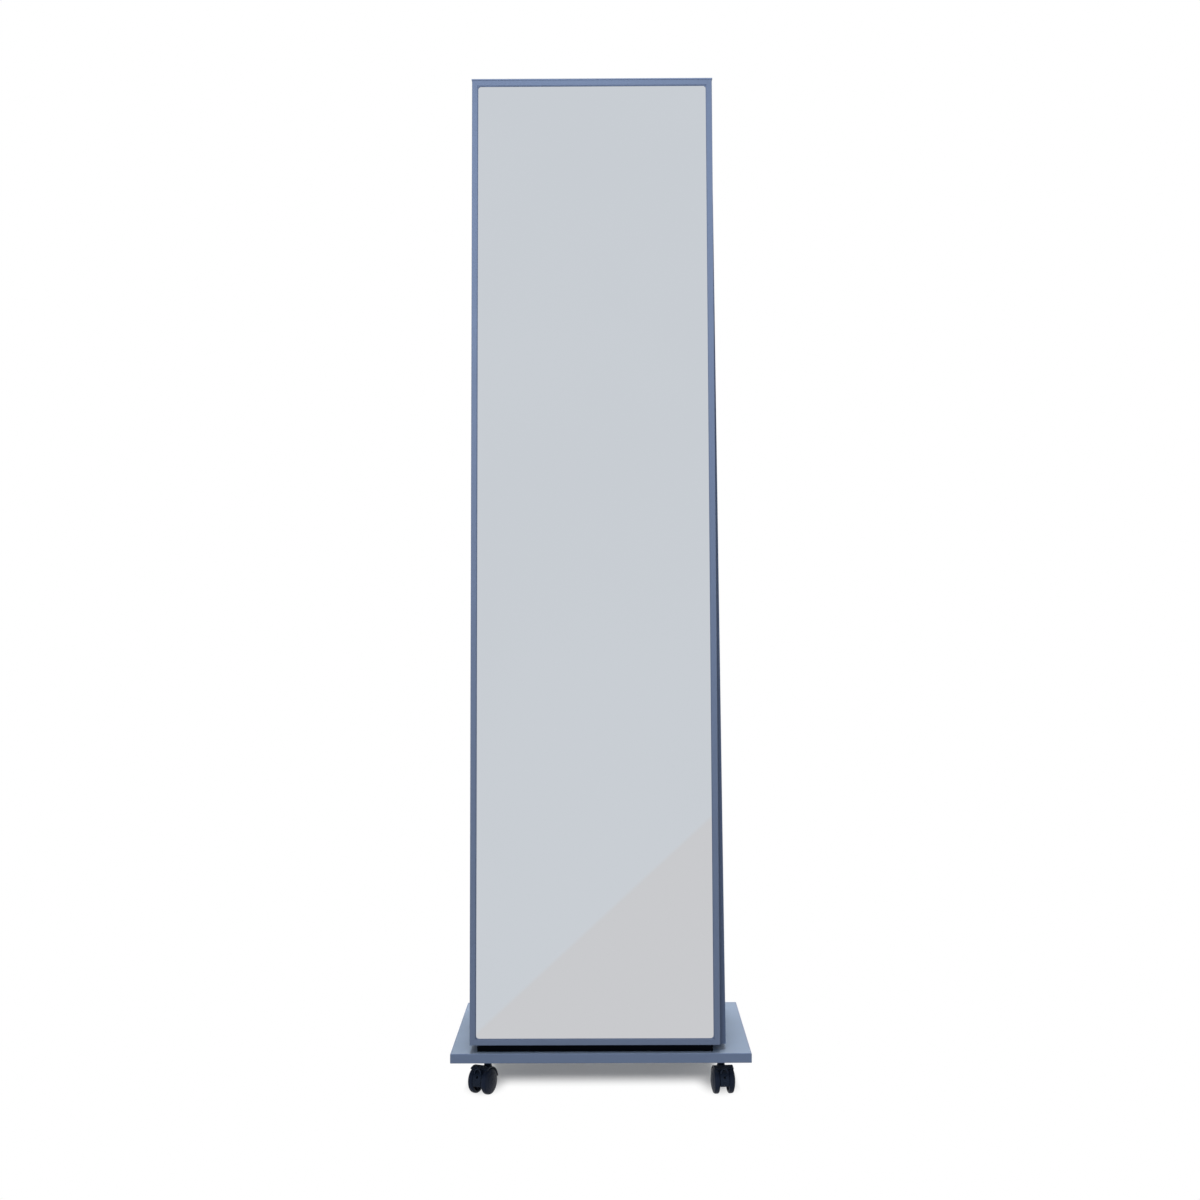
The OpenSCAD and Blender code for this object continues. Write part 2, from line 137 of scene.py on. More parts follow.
def calc(tree, column, row, operation, first, second):
    # one operation on two sockets or numbers, in a shader or a Geometry Nodes tree
    node = addNode(tree, "ShaderNodeMath", column, row, operation=operation)
    for i, value in enumerate((first, second)):
        if isinstance(value, bpy.types.NodeSocket):
            tree.links.new(value, node.inputs[i])
        else:
            node.inputs[i].default_value = value
    return node.outputs[0]


grainLook = {
    "fine": 900.0, "fineDetail": 3.0, "fineRough": 0.55,
    "coarse": 14.0, "coarseDetail": 2.0, "coarseRough": 0.5,
    "toneRange": (0.3, 0.7), "cloudRange": (0.35, 0.65),
}


def makeGrainGroup(look):
    # fine and coarse unevenness of a coat, moulding or board, in the piece's own coordinates
    tree, entry, leave = newGroup(
        "surfaceGrain",
        {"Fine": ("NodeSocketFloat", look["fine"]), "Coarse": ("NodeSocketFloat", look["coarse"])},
        {"Tone": "NodeSocketFloat", "Height": "NodeSocketFloat", "Cloud": "NodeSocketFloat"})
    link = tree.links.new
    where = addNode(tree, "ShaderNodeTexCoord", 0, 2)
    fine = addNode(tree, "ShaderNodeTexNoise", 2, 0)
    setInputs(fine, Detail=look["fineDetail"], Roughness=look["fineRough"])
    coarse = addNode(tree, "ShaderNodeTexNoise", 2, 2)
    setInputs(coarse, Detail=look["coarseDetail"], Roughness=look["coarseRough"])
    tone = ramp(tree, 4, 1, *look["toneRange"])
    cloud = ramp(tree, 4, 2, *look["cloudRange"])
    for noise, scale in ((fine, "Fine"), (coarse, "Coarse")):
        link(where.outputs["Object"], noise.inputs["Vector"])
        link(entry.outputs[scale], noise.inputs["Scale"])
    link(fine.outputs["Fac"], tone.inputs["Value"])
    link(coarse.outputs["Fac"], cloud.inputs["Value"])
    link(tone.outputs["Result"], leave.inputs["Tone"])
    link(fine.outputs["Fac"], leave.inputs["Height"])
    link(cloud.outputs["Result"], leave.inputs["Cloud"])
    return tree


edgeLook = {
    "radius": 0.0006, "samples": 6,
    "amount": 0.5,
    "turnRange": (0.985, 0.86),        # cosine between true and rounded normal: unworn, fully worn
    "breakup": 160.0, "breakupDetail": 4.0, "breakupRough": 0.65,
    "breakupRange": (0.38, 0.62), "leastWear": 0.25,
}


def makeEdgeGroup(look):
    # softened edges: a rounded normal, and a mask that follows the edges where they rub
    tree, entry, leave = newGroup(
        "edgeWear",
        {"Radius": ("NodeSocketFloat", look["radius"]), "Amount": ("NodeSocketFloat", look["amount"]),
         "Breakup": ("NodeSocketFloat", look["breakup"])},
        {"Normal": "NodeSocketVector", "Wear": "NodeSocketFloat"})
    link = tree.links.new
    where = addNode(tree, "ShaderNodeTexCoord", 0, 3)
    bevel = addNode(tree, "ShaderNodeBevel", 1, 0, samples=look["samples"])
    surface = addNode(tree, "ShaderNodeNewGeometry", 1, 1)
    turned = addNode(tree, "ShaderNodeVectorMath", 2, 0, operation="DOT_PRODUCT")
    edge = ramp(tree, 3, 0, *look["turnRange"])
    noise = addNode(tree, "ShaderNodeTexNoise", 2, 3)
    setInputs(noise, Detail=look["breakupDetail"], Roughness=look["breakupRough"])
    broken = ramp(tree, 3, 3, *look["breakupRange"], look["leastWear"], 1.0)
    link(entry.outputs["Radius"], bevel.inputs["Radius"])
    link(bevel.outputs["Normal"], turned.inputs[0])
    link(surface.outputs["Normal"], turned.inputs[1])
    link(turned.outputs["Value"], edge.inputs["Value"])
    link(where.outputs["Object"], noise.inputs["Vector"])
    link(entry.outputs["Breakup"], noise.inputs["Scale"])
    link(noise.outputs["Fac"], broken.inputs["Value"])
    wear = calc(tree, 4, 1, "MULTIPLY", edge.outputs["Result"], broken.outputs["Result"])
    link(bevel.outputs["Normal"], leave.inputs["Normal"])
    link(calc(tree, 5, 1, "MULTIPLY", wear, entry.outputs["Amount"]), leave.inputs["Wear"])
    return tree


dustLook = {
    "colour": "b9bcc0", "amount": 0.2,
    "levelRange": (0.55, 0.95),        # how level a face is: clean, fully dusty
    "patches": 22.0, "patchDetail": 6.0, "patchRough": 0.7,
    "patchRange": (0.32, 0.68), "leastDust": 0.35,
}


def makeDustGroup(look):
    # a thin film of dust that lies on faces turned upwards
    tree, entry, leave = newGroup(
        "dustFilm", {"Amount": ("NodeSocketFloat", look["amount"])}, {"Mask": "NodeSocketFloat"})
    link = tree.links.new
    surface = addNode(tree, "ShaderNodeNewGeometry", 0, 1)
    where = addNode(tree, "ShaderNodeTexCoord", 0, 2)
    split = addNode(tree, "ShaderNodeSeparateXYZ", 1, 1)
    flat = ramp(tree, 2, 1, *look["levelRange"])
    noise = addNode(tree, "ShaderNodeTexNoise", 1, 2)
    setInputs(noise, Scale=look["patches"], Detail=look["patchDetail"], Roughness=look["patchRough"])
    patch = ramp(tree, 2, 2, *look["patchRange"], look["leastDust"], 1.0)
    link(surface.outputs["Normal"], split.inputs["Vector"])
    link(split.outputs["Z"], flat.inputs["Value"])
    link(where.outputs["Object"], noise.inputs["Vector"])
    link(noise.outputs["Fac"], patch.inputs["Value"])
    film = calc(tree, 3, 1, "MULTIPLY", flat.outputs["Result"], patch.outputs["Result"])
    link(calc(tree, 4, 1, "MULTIPLY", film, entry.outputs["Amount"]), leave.inputs["Mask"])
    return tree


grainGroup = makeGrainGroup(grainLook)
edgeGroup = makeEdgeGroup(edgeLook)
dustGroup = makeDustGroup(dustLook)
print("shared shader groups built")


def placeGroup(tree, group, column, row, **values):
    node = addNode(tree, "ShaderNodeGroup", column, row, node_tree=group)
    return setInputs(node, **values)


def mixColour(tree, column, row, factor, first, second):
    # first and second are sockets or fixed colours; 6 and 7 are the node's two colour sockets
    node = addNode(tree, "ShaderNodeMix", column, row, data_type="RGBA")
    tree.links.new(factor, node.inputs["Factor"])
    for slot, value in ((6, first), (7, second)):
        if isinstance(value, bpy.types.NodeSocket):
            tree.links.new(value, node.inputs[slot])
        else:
            node.inputs[slot].default_value = value
    return node.outputs[2]


def shade(colour, factor):
    return tuple(c * factor for c in colour[:3]) + (1.0,)


def newMaterial(name):
    material = bpy.data.materials.new(name)
    material.use_nodes = True
    shader = material.node_tree.nodes["Principled BSDF"]
    shader.location = shaderPlace
    return material, material.node_tree, shader


def addBump(tree, column, shader, look, height, normal=None):
    bump = addNode(tree, "ShaderNodeBump", column, 3)
    setInputs(bump, Strength=look["bump"], Distance=look["bumpDepth"])
    tree.links.new(height, bump.inputs["Height"])
    if normal is not None:
        tree.links.new(normal, bump.inputs["Normal"])
    tree.links.new(bump.outputs["Normal"], shader.inputs["Normal"])


# what all coats share, unless one says otherwise
coatLook = {"ior": 1.45, "shine": 0.5, "roughSpread": 0.05, "bumpDepth": 0.0002}


def coatedMaterial(name, coat):
    # painted, laminated, moulded or rubber surface: tone, grain, dust, and edges that wear
    finish = {**coatLook, **coat}
    material, tree, shader = newMaterial(name)
    link = tree.links.new
    setInputs(shader, IOR=finish["ior"], Specular_IOR_Level=finish["shine"])
    grain = placeGroup(tree, grainGroup, 0, 0, Fine=finish["fine"], Coarse=finish["coarse"])
    edges = placeGroup(tree, edgeGroup, 0, 1, Radius=finish["edge"], Amount=finish["wear"])
    dust = placeGroup(tree, dustGroup, 0, 2, Amount=finish["dust"])
    darker = shade(srgb(finish["colour"]), 1 - finish["spread"])
    lighter = shade(srgb(finish["colour"]), 1 + finish["spread"])
    body = mixColour(tree, 2, 0, grain.outputs["Cloud"], darker, lighter)
    speck = mixColour(tree, 3, 0, grain.outputs["Tone"], darker, body)
    worn = mixColour(tree, 4, 0, edges.outputs["Wear"], speck, srgb(finish["rubbed"]))
    dusty = mixColour(tree, 5, 0, dust.outputs["Mask"], worn, srgb(dustLook["colour"]))
    link(dusty, shader.inputs["Base Color"])
    lowest = finish["rough"] - finish["roughSpread"]
    rough = ramp(tree, 3, 2, 0.0, 1.0, lowest, finish["rough"] + finish["roughSpread"])
    link(grain.outputs["Tone"], rough.inputs["Value"])
    duller = addNode(tree, "ShaderNodeMath", 5, 2, operation="ADD", use_clamp=True)
    link(rough.outputs["Result"], duller.inputs[0])
    link(dust.outputs["Mask"], duller.inputs[1])
    link(duller.outputs["Value"], shader.inputs["Roughness"])
    addBump(tree, 6, shader, finish, grain.outputs["Height"], edges.outputs["Normal"])
    return material


coats = {
    # powder coat on the mirror frames
    "framePaint": {"colour": "6a7a98", "rubbed": "8d9ab8", "spread": 0.03, "fine": 1100.0, "coarse": 9.0,
                   "edge": 0.0005, "wear": 0.35, "dust": 0.05, "rough": 0.42, "bump": 0.12},
    # satin paint on the side panels, darker than the frames' as painted shade
    "sidePaintPaintedShade": {"colour": "5c6d8c", "rubbed": "7685a2", "spread": 0.035, "fine": 700.0, "coarse": 6.0,
                  "edge": 0.0007, "wear": 0.3, "dust": 0.05, "rough": 0.48, "bump": 0.16},
    # melamine face of the base board
    "baseLaminate": {"colour": "7c92ae", "rubbed": "90a2bd", "spread": 0.03, "fine": 500.0, "coarse": 7.0,
                     "edge": 0.0004, "wear": 0.25, "dust": 0.22, "rough": 0.38, "bump": 0.14},
    "baseEdging": {"colour": "6e80a0", "rubbed": "8090ae", "spread": 0.03, "fine": 650.0, "coarse": 12.0,
                   "edge": 0.0004, "wear": 0.4, "dust": 0.02, "rough": 0.4, "bump": 0.12},
    # near-black plinth paint: partly its own colour, partly painted shade for the gap under the frames
    "plinthBlackPaintedShade": {"colour": "070b12", "rubbed": "171c26", "spread": 0.2, "fine": 400.0, "coarse": 10.0,
                    "edge": 0.0005, "wear": 0.2, "dust": 0.0, "rough": 0.7, "bump": 0.3, "shine": 0.04},
    "gasketRubber": {"colour": "647391", "rubbed": "717f99", "spread": 0.06, "fine": 1500.0, "coarse": 30.0,
                     "edge": 0.0003, "wear": 0.1, "dust": 0.05, "rough": 0.6, "bump": 0.2},
    # moulded nylon of the casters, with a fine spark-eroded texture
    "casterNylon": {"colour": "1c2739", "rubbed": "3a465a", "spread": 0.08, "fine": 2200.0, "coarse": 60.0,
                    "edge": 0.0006, "wear": 0.4, "dust": 0.06, "rough": 0.42, "bump": 0.35, "shine": 0.15},
    "wheelNylon": {"colour": "192336", "rubbed": "343f53", "spread": 0.1, "fine": 1800.0, "coarse": 80.0,
                   "edge": 0.0006, "wear": 0.45, "dust": 0.08, "rough": 0.5, "bump": 0.3, "shine": 0.15},
    "screwPaint": {"colour": "5c6a88", "rubbed": "9aa2ae", "spread": 0.05, "fine": 2500.0, "coarse": 90.0,
                   "edge": 0.0002, "wear": 0.8, "dust": 0.0, "rough": 0.38, "bump": 0.1},
}
# the cap's coat is the frames', a little lighter as painted light for its front face, and with a sharper
# edge
coats["capPaintPaintedLight"] = {**coats["framePaint"], "colour": "7485a5", "edge": 0.0003}
finishes = {name: coatedMaterial(name, coat) for name, coat in coats.items()}


def metalMaterial(name, finish):
    # zinc-plated steel: streaks along one axis and a passivated, cloudy colour
    material, tree, shader = newMaterial(name)
    link = tree.links.new
    setInputs(shader, Metallic=1.0)
    where = addNode(tree, "ShaderNodeTexCoord", 0, 2)
    stretch = addNode(tree, "ShaderNodeMapping", 1, 2)
    stretch.inputs["Scale"].default_value = finish["streak"]
    streaks = addNode(tree, "ShaderNodeTexNoise", 2, 2)
    setInputs(streaks, Scale=finish["fine"], Detail=finish["streakDetail"])
    link(where.outputs["Object"], stretch.inputs["Vector"])
    link(stretch.outputs["Vector"], streaks.inputs["Vector"])
    grain = placeGroup(tree, grainGroup, 0, 0, Fine=finish["fine"], Coarse=finish["coarse"])
    edges = placeGroup(tree, edgeGroup, 0, 1, Radius=finish["edge"], Amount=finish["wear"])
    colour = srgb(finish["colour"])
    body = mixColour(tree, 3, 0, grain.outputs["Cloud"], shade(colour, finish["cloud"]), colour)
    rubbed = mixColour(tree, 4, 0, edges.outputs["Wear"], body, srgb(finish["rubbed"]))
    link(rubbed, shader.inputs["Base Color"])
    rough = ramp(tree, 4, 2, *finish["streakRange"], *finish["roughRange"])
    link(streaks.outputs["Fac"], rough.inputs["Value"])
    link(rough.outputs["Result"], shader.inputs["Roughness"])
    addBump(tree, 5, shader, finish, streaks.outputs["Fac"], edges.outputs["Normal"])
    return material


zincSteel = {
    "colour": "b9babb", "rubbed": "e2e3e4", "cloud": 0.86,
    "streak": (1.0, 1.0, 0.12), "streakDetail": 4.0, "streakRange": (0.3, 0.7),
    "fine": 1600.0, "coarse": 120.0, "edge": 0.0003, "wear": 0.6,
    "roughRange": (0.26, 0.44), "bump": 0.15, "bumpDepth": 0.0001,
}
finishes["zincSteel"] = metalMaterial("zincSteel", zincSteel)


# what all raw boards share
boardLook = {
    "bend": 9.0, "ringDetail": 3.0, "ringDetailScale": 1.4,
    "pores": 420.0, "poreDetail": 5.0, "poreRough": 0.7, "poreShade": 0.75, "poreRange": (0.2, 0.8),
    "roughRange": (0.6, 0.82), "bump": 0.25, "bumpDepth": 0.0003,
}


def boardMaterial(name, board):
    # raw board: growth rings stretched along the grain, with pores
    finish = {**boardLook, **board}
    material, tree, shader = newMaterial(name)
    link = tree.links.new
    where = addNode(tree, "ShaderNodeTexCoord", 0, 1)
    stretch = addNode(tree, "ShaderNodeMapping", 1, 1)
    stretch.inputs["Scale"].default_value = finish["grain"]
    rings = addNode(tree, "ShaderNodeTexWave", 2, 1, wave_type="BANDS", bands_direction="DIAGONAL")
    setInputs(rings, Scale=finish["rings"], Distortion=finish["bend"], Detail=finish["ringDetail"],
              Detail_Scale=finish["ringDetailScale"])
    pores = addNode(tree, "ShaderNodeTexNoise", 2, 2)
    setInputs(pores, Scale=finish["pores"], Detail=finish["poreDetail"], Roughness=finish["poreRough"])
    link(where.outputs["Object"], stretch.inputs["Vector"])
    link(stretch.outputs["Vector"], rings.inputs["Vector"])
    link(stretch.outputs["Vector"], pores.inputs["Vector"])
    light = srgb(finish["light"])
    body = mixColour(tree, 4, 0, rings.outputs["Fac"], srgb(finish["dark"]), light)
    specked = mixColour(tree, 5, 0, pores.outputs["Fac"], shade(light, finish["poreShade"]), body)
    link(specked, shader.inputs["Base Color"])
    rough = ramp(tree, 4, 2, *finish["poreRange"], *finish["roughRange"])
    link(pores.outputs["Fac"], rough.inputs["Value"])
    link(rough.outputs["Result"], shader.inputs["Roughness"])
    addBump(tree, 5, shader, finish, pores.outputs["Fac"])
    return material


boards = {
    "birchBoard": {"light": "d2b48a", "dark": "a98556", "grain": (0.15, 1.0, 1.0), "rings": 26.0},
    "beechDowel": {"light": "d8bd95", "dark": "b8946a", "grain": (0.1, 1.0, 1.0), "rings": 60.0},
    "hardboard": {"light": "84603c", "dark": "5c3f26", "grain": (1.0, 1.0, 1.0), "rings": 90.0},
}
finishes.update({name: boardMaterial(name, board) for name, board in boards.items()})


mirrorFinish = {
    "tint": "c9ced4",              # what a white room looks like in the silvering
    "deep": "c8cdd3",              # the same where the silvering is a little thicker
    "paintedReflection": "c9cacd",           # painted reflection: the same, less blue, below a diagonal
    "slope": 0.903, "start": 0.295,    # that diagonal: how it rises with x, and its height at x = 0
    "blend": 0.006,                # half the width over which it fades
    "rim": "b4bcc2",               # darker towards the sheet's edge
    "rimWidth": 3.0, "rimAmount": 1.0,
    "smear": 5.0, "smearStretch": (1.0, 1.0, 0.35), "smearDetail": 3.0, "smearBend": 0.6,
    "smearRange": (0.35, 0.75), "roughRange": (0.01, 0.045),
    "fine": 240.0, "coarse": 2.2,
}


def mirrorMaterial(name, finish):
    # silvered glass: a cloudy tint, faint wiping marks, a painted reflection that is less blue low down,
    # and a darker rim
    material, tree, shader = newMaterial(name)
    link = tree.links.new
    setInputs(shader, Metallic=1.0)
    where = addNode(tree, "ShaderNodeTexCoord", 0, 1)
    stretch = addNode(tree, "ShaderNodeMapping", 1, 1)
    stretch.inputs["Scale"].default_value = finish["smearStretch"]
    wipes = addNode(tree, "ShaderNodeTexNoise", 2, 1)
    setInputs(wipes, Scale=finish["smear"], Detail=finish["smearDetail"], Distortion=finish["smearBend"])
    link(where.outputs["Object"], stretch.inputs["Vector"])
    link(stretch.outputs["Vector"], wipes.inputs["Vector"])
    grain = placeGroup(tree, grainGroup, 0, 0, Fine=finish["fine"], Coarse=finish["coarse"])
    body = mixColour(tree, 3, 0, grain.outputs["Cloud"], srgb(finish["tint"]), srgb(finish["deep"]))
    # painted reflection: a less blue tone below a diagonal across the glass
    split = addNode(tree, "ShaderNodeSeparateXYZ", 1, 4)
    rise = addNode(tree, "ShaderNodeMath", 2, 4, operation="MULTIPLY_ADD")
    rise.inputs[1].default_value = -finish["slope"]
    low = ramp(tree, 3, 4, finish["start"] + finish["blend"], finish["start"] - finish["blend"])
    link(where.outputs["Object"], split.inputs["Vector"])
    link(split.outputs["X"], rise.inputs[0])
    link(split.outputs["Z"], rise.inputs[2])
    link(rise.outputs[0], low.inputs["Value"])
    withPaintedReflection = mixColour(tree, 3, 3, low.outputs["Result"], body, srgb(finish["paintedReflection"]))
    edges = placeGroup(tree, edgeGroup, 0, 2, Radius=finish["rimWidth"] * mm, Amount=finish["rimAmount"])
    rimmed = mixColour(tree, 4, 0, edges.outputs["Wear"], withPaintedReflection, srgb(finish["rim"]))
    link(rimmed, shader.inputs["Base Color"])
    rough = ramp(tree, 4, 2, *finish["smearRange"], *finish["roughRange"])
    link(wipes.outputs["Fac"], rough.inputs["Value"])
    link(rough.outputs["Result"], shader.inputs["Roughness"])
    return material


finishes["mirrorSilver"] = mirrorMaterial("mirrorSilver", mirrorFinish)
print("finishes built:", len(finishes))


# finishes of the CAD nodes

nodeFinishes = {
    "base_board": "baseLaminate", "base_edging": "baseEdging", "plinth": "plinthBlackPaintedShade",
    "bottom_board": "birchBoard", "middle_board": "birchBoard", "top_board": "birchBoard",
    "left_side_panel": "sidePaintPaintedShade", "right_side_panel": "sidePaintPaintedShade", "top_cap": "capPaintPaintedLight",
    "dowels": "beechDowel", "body_screws": "zincSteel", "side_screws": "screwPaint",
    "insert_nuts": "zincSteel",
}
panelFinishes = {
    "left_stile": "framePaint", "right_stile": "framePaint", "top_rail": "framePaint",
    "bottom_rail": "framePaint", "corner_keys": "zincSteel", "gasket": "gasketRubber",
    "mirror": "mirrorSilver", "backing": "hardboard",
}
casterFinishes = {
    "stem": "zincSteel", "housing": "casterNylon", "axle": "zincSteel",
    "left_wheel": "wheelNylon", "right_wheel": "wheelNylon",
}
panelSides = ("front", "rear")
casterCorners = {"fl": "front_left", "fr": "front_right", "rl": "rear_left", "rr": "rear_right"}
for side in panelSides:
    nodeFinishes.update({f"{side}_{part}": finish for part, finish in panelFinishes.items()})
for corner in casterCorners:
    nodeFinishes.update({f"{corner}_{part}": finish for part, finish in casterFinishes.items()})


def paintNode(node, finish):
    piece = nodes[node]
    if not piece.material_slots:
        piece.data.materials.append(None)
    for slot in piece.material_slots:
        slot.material = finishes[finish]


for node, finish in nodeFinishes.items():
    paintNode(node, finish)
print("CAD nodes finished:", len(nodeFinishes))


# geometry helpers

# in metres: how close points are one, how short edges go, and how close heads lie to their plane
closeness = {"merge": 1e-6, "sliver": 1e-7, "plane": 1e-5}
usualCrease = 35      # degrees; sharper edges stay sharp
rectangle = ((-1, -1), (1, -1), (1, 1), (-1, 1))      # signs of its corners, in turn


def mergedCopy(node):
    work = bmesh.new()
    work.from_mesh(nodes[node].data)
    bmesh.ops.remove_doubles(work, verts=work.verts, dist=closeness["merge"])
    return work


def cornersOf(node):
    work = mergedCopy(node)
    points = [vert.co.copy() for vert in work.verts]
    work.free()
    return points


def islandsOf(node):
    # the separate solids of a node, each as a list of corner points, in the mesh's own order
    work = mergedCopy(node)
    found = []
    seen = set()
    for start in work.verts:
        if start in seen:
            continue
        seen.add(start)
        front = [start]
        solid = []
        while front:
            vert = front.pop()
            solid.append(vert.co.copy())
            for other in (edge.other_vert(vert) for edge in vert.link_edges):
                if other not in seen:
                    seen.add(other)
                    front.append(other)
        found.append(solid)
    work.free()
    return found


def middleOf(points):
    return sum(points, Vector()) / len(points)


def newTree(name, inputs):
    # a Geometry Nodes tree with one geometry in and out and named sizes
    tree = bpy.data.node_groups.new(name, "GeometryNodeTree")
    tree.interface.new_socket(name="Geometry", in_out="INPUT", socket_type="NodeSocketGeometry")
    for label, (kind, value) in inputs.items():
        socket = tree.interface.new_socket(name=label, in_out="INPUT", socket_type=kind)
        if value is not None:
            socket.default_value = value
    tree.interface.new_socket(name="Geometry", in_out="OUTPUT", socket_type="NodeSocketGeometry")
    return tree, addNode(tree, "NodeGroupInput", 0, 0), addNode(tree, "NodeGroupOutput", 12, 0)


def endTree(tree, leave, shape, finish):
    # every tree ends the same way: real geometry in its finish
    real = addNode(tree, "GeometryNodeRealizeInstances", 10, 0)
    paint = addNode(tree, "GeometryNodeSetMaterial", 11, 0)
    tree.links.new(shape, real.inputs["Geometry"])
    tree.links.new(real.outputs["Geometry"], paint.inputs["Geometry"])
    tree.links.new(finish, paint.inputs["Material"])
    tree.links.new(paint.outputs["Geometry"], leave.inputs["Geometry"])


def grow(name, tree, base, values, place=None, crease=usualCrease):
    # runs a tree on a base mesh and leaves one plain mesh, turned into place, smooth up to the crease
    piece = bpy.data.objects.new(name, base)
    bpy.context.scene.collection.objects.link(piece)
    modifier = piece.modifiers.new("grow", "NODES")
    modifier.node_group = tree
    for item in tree.interface.items_tree:
        if item.in_out == "INPUT" and item.name in values:
            modifier[item.identifier] = values[item.name]
    bpy.context.view_layer.update()
    evaluated = piece.evaluated_get(bpy.context.evaluated_depsgraph_get())
    grown = bpy.data.meshes.new_from_object(evaluated)
    grown.name = name
    piece.modifiers.clear()
    piece.data = grown
    bpy.data.meshes.remove(base)
    if place:
        grown.transform(place)
    work = bmesh.new()
    work.from_mesh(grown)
    bmesh.ops.remove_doubles(work, verts=work.verts, dist=closeness["merge"])
    bmesh.ops.dissolve_degenerate(work, edges=work.edges, dist=closeness["sliver"])
    bmesh.ops.recalc_face_normals(work, faces=work.faces)
    for face in work.faces:
        face.smooth = True
    for edge in work.edges:
        edge.smooth = len(edge.link_faces) == 2 and edge.calc_face_angle(0) < math.radians(crease)
    work.to_mesh(grown)
    work.free()
    return piece


def plainBase(name, points, edges=()):
    base = bpy.data.meshes.new(name)
    base.from_pydata(points, edges, [])
    return base


def seat(piece, body, slot, *replaced):
    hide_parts(*replaced)
    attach(piece, body)


# screws, one tree for both kinds, sizes in mm

screws = {
    "side": {"Head Radius": 3.2, "Shank Radius": 1.75, "Countersink": 1.3, "Length": 11.0,
             "Recess Width": 1.05, "Recess Depth": 0.9},
    "body": {"Head Radius": 5.0, "Shank Radius": 2.5, "Countersink": 2.8, "Length": 35.0,
             "Recess Width": 1.6, "Recess Depth": 1.7},
}
recessSpan = 1.15      # length of the recess's two slots, as a share of the head's radius


def makeScrewTree():
    # a countersunk screw with a cross recess on every point, its axis along the point's "axis"
    tree, entry, leave = newTree("countersunkScrews", {
        "Head Radius": ("NodeSocketFloat", 0.003), "Shank Radius": ("NodeSocketFloat", 0.0015),
        "Countersink": ("NodeSocketFloat", 0.0013), "Length": ("NodeSocketFloat", 0.011),
        "Recess Width": ("NodeSocketFloat", 0.001), "Recess Depth": ("NodeSocketFloat", 0.0009),
        "Segments": ("NodeSocketInt", 32), "Finish": ("NodeSocketMaterial", None)})
    link = tree.links.new
    size = entry.outputs
    head = addNode(tree, "GeometryNodeMeshCone", 2, 0)
    shank = addNode(tree, "GeometryNodeMeshCylinder", 2, 2)
    for socket, source in (("Vertices", "Segments"), ("Radius Bottom", "Head Radius"),
                           ("Radius Top", "Shank Radius"), ("Depth", "Countersink")):
        link(size[source], head.inputs[socket])
    for socket, source in (("Vertices", "Segments"), ("Radius", "Shank Radius"), ("Depth", "Length")):
        link(size[source], shank.inputs[socket])
    down = addNode(tree, "ShaderNodeCombineXYZ", 4, 3)
    link(calc(tree, 3, 3, "MULTIPLY", size["Length"], 0.5), down.inputs["Z"])
    moved = addNode(tree, "GeometryNodeTransform", 5, 2)
    link(shank.outputs["Mesh"], moved.inputs["Geometry"])
    link(down.outputs["Vector"], moved.inputs["Translation"])
    # the cross is two slots centred on the head's flat face, so half of their depth cuts into it
    span = calc(tree, 1, 5, "MULTIPLY", size["Head Radius"], recessSpan)
    deep = calc(tree, 1, 6, "MULTIPLY", size["Recess Depth"], 2.0)
    solid = addNode(tree, "GeometryNodeMeshBoolean", 7, 1, operation="UNION")
    link(head.outputs["Mesh"], solid.inputs["Mesh 2"])
    link(moved.outputs["Geometry"], solid.inputs["Mesh 2"])
    cut = addNode(tree, "GeometryNodeMeshBoolean", 8, 1, operation="DIFFERENCE")
    link(solid.outputs["Mesh"], cut.inputs["Mesh 1"])
    for row, (x, y) in enumerate(((span, size["Recess Width"]), (size["Recess Width"], span))):
        shape = addNode(tree, "ShaderNodeCombineXYZ", 3, 5 + row)
        slot = addNode(tree, "GeometryNodeMeshCube", 4, 5 + row)
        link(x, shape.inputs["X"])
        link(y, shape.inputs["Y"])
        link(deep, shape.inputs["Z"])
        link(shape.outputs["Vector"], slot.inputs["Size"])
        link(slot.outputs["Mesh"], cut.inputs["Mesh 2"])
    axis = addNode(tree, "GeometryNodeInputNamedAttribute", 7, 4, data_type="FLOAT_VECTOR")
    axis.inputs["Name"].default_value = "axis"
    turn = addNode(tree, "FunctionNodeAlignRotationToVector", 8, 4, axis="Z")
    link(axis.outputs["Attribute"], turn.inputs["Vector"])
    placed = addNode(tree, "GeometryNodeInstanceOnPoints", 9, 0)
    link(size["Geometry"], placed.inputs["Points"])
    link(cut.outputs["Mesh"], placed.inputs["Instance"])
    link(turn.outputs["Rotation"], placed.inputs["Rotation"])
    endTree(tree, leave, placed.outputs["Instances"], size["Finish"])
    return tree


screwTree = makeScrewTree()


def makeScrews(name, node, sizes, inwards, finish, slot):
    # heads lie where the node's solids have theirs; inwards(middle) is the way they go in
    heads, ways = [], []
    for solid in islandsOf(node):
        way = inwards(middleOf(solid))
        first = min(point.dot(way) for point in solid)
        heads.append(middleOf([point for point in solid if point.dot(way) < first + closeness["plane"]]))
        ways.append(way)
    base = plainBase(name, heads)
    axis = base.attributes.new("axis", "FLOAT_VECTOR", "POINT")
    axis.data.foreach_set("vector", [part for way in ways for part in way])
    values = {label: value * mm for label, value in sizes.items()}
    values["Finish"] = finishes[finish]
    seat(grow(name, screwTree, base, values), "stand", slot, node)
    return len(heads)


bodyMiddle = middleOf([Vector(corner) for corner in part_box("plinth")])
count = makeScrews("side_screw_set", "side_screws", screws["side"],
                   lambda middle: Vector((-1 if middle.x > bodyMiddle.x else 1, 0, 0)),
                   "screwPaint", "frame_screws")
count += makeScrews("body_screw_set", "body_screws", screws["body"],
                    lambda middle: Vector((0, 0, 1)), "zincSteel", "steel")
print("screws:", count)


# the rubber seal round each mirror

seal = {
    "soft": 0.5, "softSteps": 3,      # rounding of its lip in mm
    "slack": 0.02,                    # gap to the glass in mm
    "corner": 5.0, "steps": 8,        # radius of the window's corners in mm
    "crease": 50,
}


